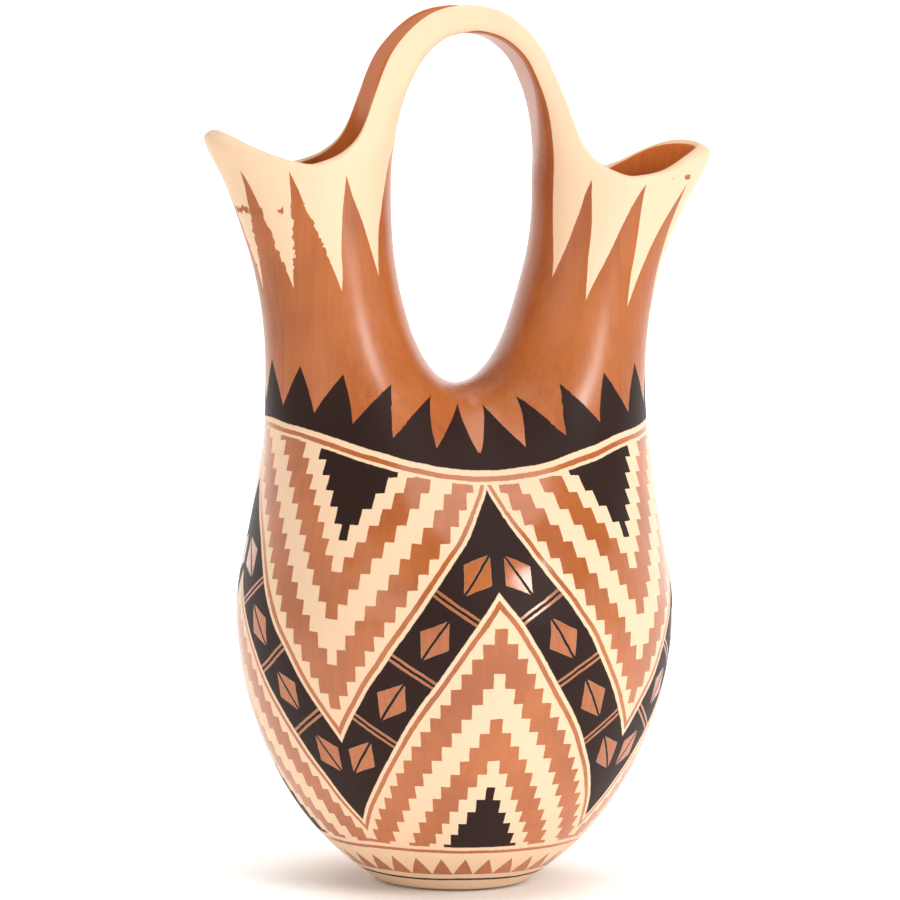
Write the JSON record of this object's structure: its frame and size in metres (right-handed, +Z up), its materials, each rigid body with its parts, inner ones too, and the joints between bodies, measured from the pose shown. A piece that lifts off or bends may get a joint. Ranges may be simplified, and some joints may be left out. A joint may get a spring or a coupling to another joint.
{
  "type": "wedding vase",
  "caption": "Two-spouted ceramic wedding vase with an egg-shaped body, pulled pouring lips and an arched strap handle joining the spouts.",
  "frame": {"origin": "centre of the flat resting face under the base", "axes": "+Z up along the body's axis, X from the left spout to the right spout, the front faces -Y"},
  "size_m": [0.1786, 0.152, 0.305],
  "materials": {
    "base_slip": "stone-polished slip, worn where it rests",
    "painted_slip": "satin cream slip painted with polished rust slip and matt black",
    "rust_slip": "stone-polished rust slip",
    "cream_slip": "satin cream slip"
  },
  "bodies": {
    "root": {"base_disc": "base_slip", "body_coil_1": "painted_slip", "body_coil_2": "painted_slip", "body_coil_3": "painted_slip", "body_coil_4": "painted_slip", "body_coil_5": "painted_slip", "body_coil_6": "painted_slip", "body_coil_7": "painted_slip", "shoulder_bridge": "rust_slip", "left_neck_coil_1": "rust_slip", "left_neck_coil_2": "rust_slip", "left_neck_coil_3": "rust_slip", "left_lip": "cream_slip", "right_neck_coil_1": "rust_slip", "right_neck_coil_2": "rust_slip", "right_neck_coil_3": "rust_slip", "right_lip": "cream_slip", "handle_strap": "cream_slip"}
  },
  "joints": []
}
